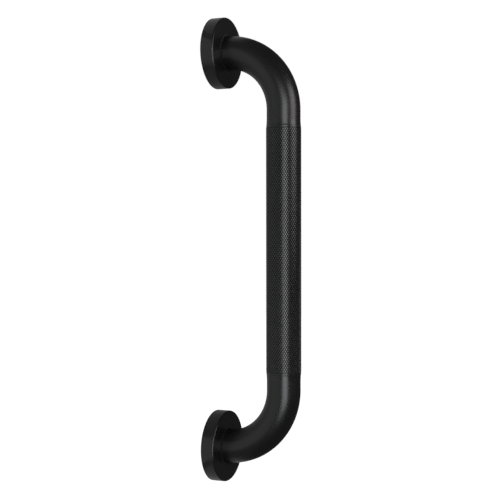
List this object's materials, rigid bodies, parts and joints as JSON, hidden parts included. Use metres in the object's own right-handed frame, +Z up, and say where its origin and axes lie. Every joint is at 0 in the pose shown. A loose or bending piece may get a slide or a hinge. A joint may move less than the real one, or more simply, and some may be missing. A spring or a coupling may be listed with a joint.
{
  "type": "wall grab bar",
  "caption": "Matte black wall grab bar: bent tube with a knurled hand grip, welded mounting plates and round sliding covers that hide the screws.",
  "frame": {"origin": "centre of the lower mounting plate, on the wall plane", "axes": "+Z up the wall along the bar, +Y into the wall, +X to the right when facing the wall; the bar stands out to -Y"},
  "size_m": [0.068, 0.0881, 0.448],
  "materials": {
    "tube_coat": "matte black powder coat on stainless steel",
    "grip_coat": "matte black powder coat over diamond knurl",
    "cover_coat": "matte black powder coat on pressed steel",
    "plate_steel": "brushed stainless",
    "weld_steel": "as welded, brushed",
    "gasket_rubber": "dull",
    "grommet_rubber": "dull"
  },
  "bodies": {
    "rail": {"grab_tube": "tube_coat", "knurled_grip": "grip_coat", "upper_mounting_plate": "plate_steel", "lower_mounting_plate": "plate_steel", "upper_weld_bead": "weld_steel", "lower_weld_bead": "weld_steel", "upper_wall_gasket": "gasket_rubber", "lower_wall_gasket": "gasket_rubber"},
    "upper_grommet": {"upper_cover_grommet": "grommet_rubber"},
    "upper_cover": {"upper_flange_cover": "cover_coat"},
    "lower_grommet": {"lower_cover_grommet": "grommet_rubber"},
    "lower_cover": {"lower_flange_cover": "cover_coat"}
  },
  "joints": [
    {"name": "upper_cover_travel", "type": "hinge", "parent": "rail", "child": "upper_grommet", "pos_m": [0, -0.014, 0.3225], "axis": [1, 0, 0], "range_deg": [0, 90]},
    {"name": "upper_cover_spin", "type": "hinge", "parent": "upper_grommet", "child": "upper_cover", "pos_m": [0, 0, 0.38], "axis": [0, 1, 0], "continuous": true},
    {"name": "lower_cover_travel", "type": "hinge", "parent": "rail", "child": "lower_grommet", "pos_m": [0, -0.014, 0.0575], "axis": [-1, 0, 0], "range_deg": [0, 90]},
    {"name": "lower_cover_spin", "type": "hinge", "parent": "lower_grommet", "child": "lower_cover", "pos_m": [0, 0, 0], "axis": [0, 1, 0], "continuous": true}
  ]
}
